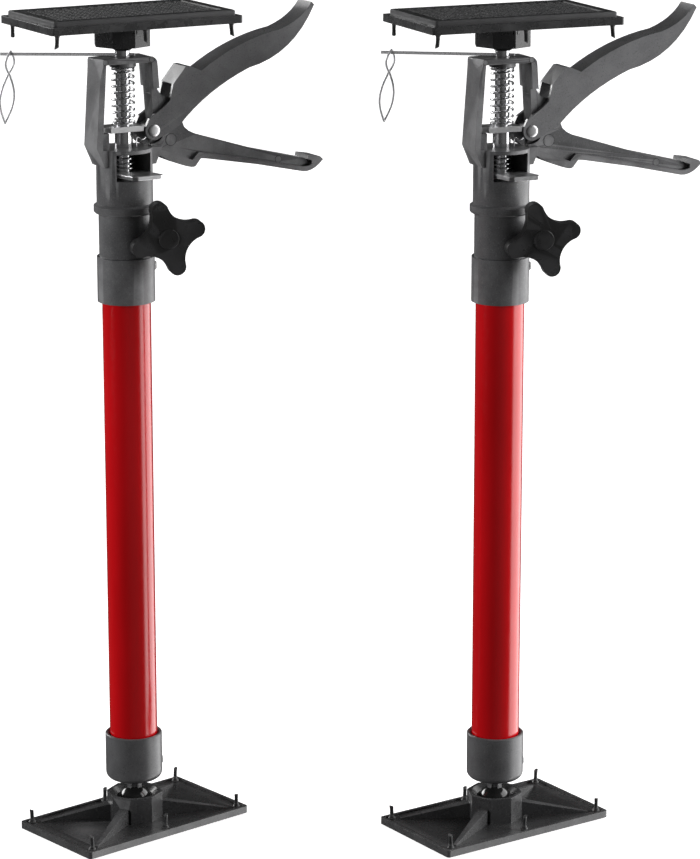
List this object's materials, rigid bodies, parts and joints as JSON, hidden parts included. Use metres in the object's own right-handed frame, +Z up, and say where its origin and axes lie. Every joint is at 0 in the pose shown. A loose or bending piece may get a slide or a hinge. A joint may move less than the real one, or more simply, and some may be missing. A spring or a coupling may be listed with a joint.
{
  "type": "pair of telescopic support props",
  "caption": "Pair of telescopic support props, each with swivelling rubber-faced base and top plates, a clamp knob and a squeeze-lever lift on a sprung push rod.",
  "frame": {"origin": "centre of the base pad's floor face, under the tube axis of the first prop", "axes": "+Z up along the tubes, +X along the first prop's handles, -Y towards its knob and brake tongue; the second prop stands 0.212 m along +X and 0.122 m along -Y, turned 6.5 degrees clockwise"},
  "size_m": [0.4285, 0.2199, 0.5527],
  "materials": {
    "rubber": "matte moulded rubber",
    "black_plastic": "satin moulded glass-filled plastic",
    "black_gloss": "smooth black ball",
    "nylon": "plain nylon",
    "red_enamel": "glossy red powder coat",
    "bright_steel": "bright plated steel",
    "zinc_steel": "zinc plated pressed steel",
    "spring_steel": "bright spring wire",
    "dark_steel": "black oxide screws"
  },
  "bodies": {
    "base": {"base_pad": "rubber", "base_plate": "black_plastic"},
    "foot_socket": {"foot_seat": "nylon"},
    "lower_tube": {"foot_ball": "bright_steel", "foot_cap": "black_plastic", "tube_screws": "dark_steel", "outer_tube": "red_enamel", "clamp_collar": "black_plastic", "clamp_nut": "zinc_steel"},
    "clamp_knob": {"knob": "black_plastic", "clamp_stud": "bright_steel"},
    "head": {"inner_tube": "zinc_steel", "tube_guide": "nylon", "housing": "black_plastic", "drive_spring": "spring_steel", "deck_bush": "bright_steel", "brake_spring": "spring_steel", "lever_pin": "zinc_steel", "lever_spring": "spring_steel"},
    "rod": {"push_rod": "bright_steel", "rod_stop": "zinc_steel", "head_ball": "black_gloss"},
    "drive": {"drive_plate": "zinc_steel"},
    "brake": {"brake_plate": "zinc_steel"},
    "squeeze_lever": {"lever": "black_plastic"},
    "pin": {"lock_pin": "spring_steel"},
    "clip": {"r_clip": "spring_steel"},
    "top_socket": {"head_seat": "nylon"},
    "top": {"top_plate": "black_plastic", "top_pad": "rubber"},
    "second_base": {"second_base_pad": "rubber", "second_base_plate": "black_plastic"},
    "second_foot_socket": {"second_foot_seat": "nylon"},
    "second_lower_tube": {"second_foot_ball": "bright_steel", "second_foot_cap": "black_plastic", "second_tube_screws": "dark_steel", "second_outer_tube": "red_enamel", "second_clamp_collar": "black_plastic", "second_clamp_nut": "zinc_steel"},
    "second_clamp_knob": {"second_knob": "black_plastic", "second_clamp_stud": "bright_steel"},
    "second_head": {"second_inner_tube": "zinc_steel", "second_tube_guide": "nylon", "second_housing": "black_plastic", "second_drive_spring": "spring_steel", "second_deck_bush": "bright_steel", "second_brake_spring": "spring_steel", "second_lever_pin": "zinc_steel", "second_lever_spring": "spring_steel"},
    "second_rod": {"second_push_rod": "bright_steel", "second_rod_stop": "zinc_steel", "second_head_ball": "black_gloss"},
    "second_drive": {"second_drive_plate": "zinc_steel"},
    "second_brake": {"second_brake_plate": "zinc_steel"},
    "second_squeeze_lever": {"second_lever": "black_plastic"},
    "second_pin": {"second_lock_pin": "spring_steel"},
    "second_clip": {"second_r_clip": "spring_steel"},
    "second_top_socket": {"second_head_seat": "nylon"},
    "second_top": {"second_top_plate": "black_plastic", "second_top_pad": "rubber"}
  },
  "joints": [
    {"name": "prop_spacing", "type": "slide", "parent": "base", "child": "second_base", "axis": [1, 0, 0], "range_m": [0, 0.3]},
    {"name": "base_swivel", "type": "hinge", "parent": "base", "child": "foot_socket", "pos_m": [0, 0, 0.0165], "axis": [0, 0, 1], "continuous": true},
    {"name": "base_tilt", "type": "hinge", "parent": "foot_socket", "child": "lower_tube", "pos_m": [0, 0, 0.0165], "axis": [0, 1, 0], "range_deg": [-15, 15]},
    {"name": "tube_extend", "type": "slide", "parent": "lower_tube", "child": "head", "axis": [0, 0, 1], "range_m": [0, 0.25]},
    {"name": "knob_turn", "type": "hinge", "parent": "lower_tube", "child": "clamp_knob", "pos_m": [0.02164, -0.00539, 0.4076], "axis": [-0.2419, -0.9703, 0], "range_deg": [0, 360]},
    {"name": "lever_squeeze", "type": "hinge", "parent": "head", "child": "squeeze_lever", "pos_m": [0.0176, 0, 0.4746], "axis": [0, 1, 0], "range_deg": [0, 30], "stiffness_Nm_per_rad": 0.4, "springref_deg": -20.05},
    {"name": "drive_lift", "type": "slide", "parent": "head", "child": "drive", "axis": [0, 0, 1], "range_m": [0, 0.0056], "deforming": ["drive_spring"]},
    {"name": "rod_lift", "type": "slide", "parent": "head", "child": "rod", "axis": [0, 0, 1], "range_m": [0, 0.1]},
    {"name": "brake_release", "type": "hinge", "parent": "head", "child": "brake", "pos_m": [0, 0.0085, 0.4464], "axis": [1, 0, 0], "range_deg": [0, 3.5], "stiffness_Nm_per_rad": 2, "springref_deg": -5.73},
    {"name": "top_tilt", "type": "hinge", "parent": "rod", "child": "top_socket", "pos_m": [0, 0, 0.5363], "axis": [1, 0, 0], "range_deg": [-10, 10]},
    {"name": "top_swivel", "type": "hinge", "parent": "top_socket", "child": "top", "pos_m": [0, 0, 0.5363], "axis": [0, 0, 1], "continuous": true},
    {"name": "pin_pull", "type": "slide", "parent": "rod", "child": "pin", "axis": [0.8536, -0.521, 0], "range_m": [0, 0.045]},
    {"name": "clip_swing", "type": "hinge", "parent": "pin", "child": "clip", "pos_m": [-0.06146, 0.03751, 0.5241], "axis": [-0.8536, 0.521, 0], "range_deg": [-40, 40]},
    {"name": "second_base_swivel", "type": "hinge", "parent": "second_base", "child": "second_foot_socket", "pos_m": [0.212, -0.122, 0.0165], "axis": [0, 0, 1], "continuous": true},
    {"name": "second_base_tilt", "type": "hinge", "parent": "second_foot_socket", "child": "second_lower_tube", "pos_m": [0.212, -0.122, 0.0165], "axis": [0.1132, 0.9936, 0], "range_deg": [-15, 15]},
    {"name": "second_tube_extend", "type": "slide", "parent": "second_lower_tube", "child": "second_head", "axis": [0, 0, 1], "range_m": [0, 0.25]},
    {"name": "second_knob_turn", "type": "hinge", "parent": "second_lower_tube", "child": "second_clamp_knob", "pos_m": [0.23289, -0.12981, 0.4076], "axis": [-0.3502, -0.9367, 0], "range_deg": [0, 360]},
    {"name": "second_lever_squeeze", "type": "hinge", "parent": "second_head", "child": "second_squeeze_lever", "pos_m": [0.22949, -0.12399, 0.4746], "axis": [0.1132, 0.9936, 0], "range_deg": [0, 30], "stiffness_Nm_per_rad": 0.4, "springref_deg": -20.05},
    {"name": "second_drive_lift", "type": "slide", "parent": "second_head", "child": "second_drive", "axis": [0, 0, 1], "range_m": [0, 0.0056], "deforming": ["second_drive_spring"]},
    {"name": "second_rod_lift", "type": "slide", "parent": "second_head", "child": "second_rod", "axis": [0, 0, 1], "range_m": [0, 0.1]},
    {"name": "second_brake_release", "type": "hinge", "parent": "second_head", "child": "second_brake", "pos_m": [0.21296, -0.11356, 0.4464], "axis": [0.9936, -0.1132, 0], "range_deg": [0, 3.5], "stiffness_Nm_per_rad": 2, "springref_deg": -5.73},
    {"name": "second_top_tilt", "type": "hinge", "parent": "second_rod", "child": "second_top_socket", "pos_m": [0.212, -0.122, 0.5363], "axis": [0.9936, -0.1132, 0], "range_deg": [-10, 10]},
    {"name": "second_top_swivel", "type": "hinge", "parent": "second_top_socket", "child": "second_top", "pos_m": [0.212, -0.122, 0.5363], "axis": [0, 0, 1], "continuous": true},
    {"name": "second_pin_pull", "type": "slide", "parent": "second_rod", "child": "second_pin", "axis": [0.7891, -0.6143, 0], "range_m": [0, 0.045]},
    {"name": "second_clip_swing", "type": "hinge", "parent": "second_pin", "child": "second_clip", "pos_m": [0.15519, -0.07777, 0.5241], "axis": [-0.7891, 0.6143, 0], "range_deg": [-40, 40]}
  ],
  "couplings": [
    {"joint": "drive_lift", "follows": "lever_squeeze", "m_per_rad": 0.0105},
    {"joint": "second_drive_lift", "follows": "second_lever_squeeze", "m_per_rad": 0.0105}
  ]
}
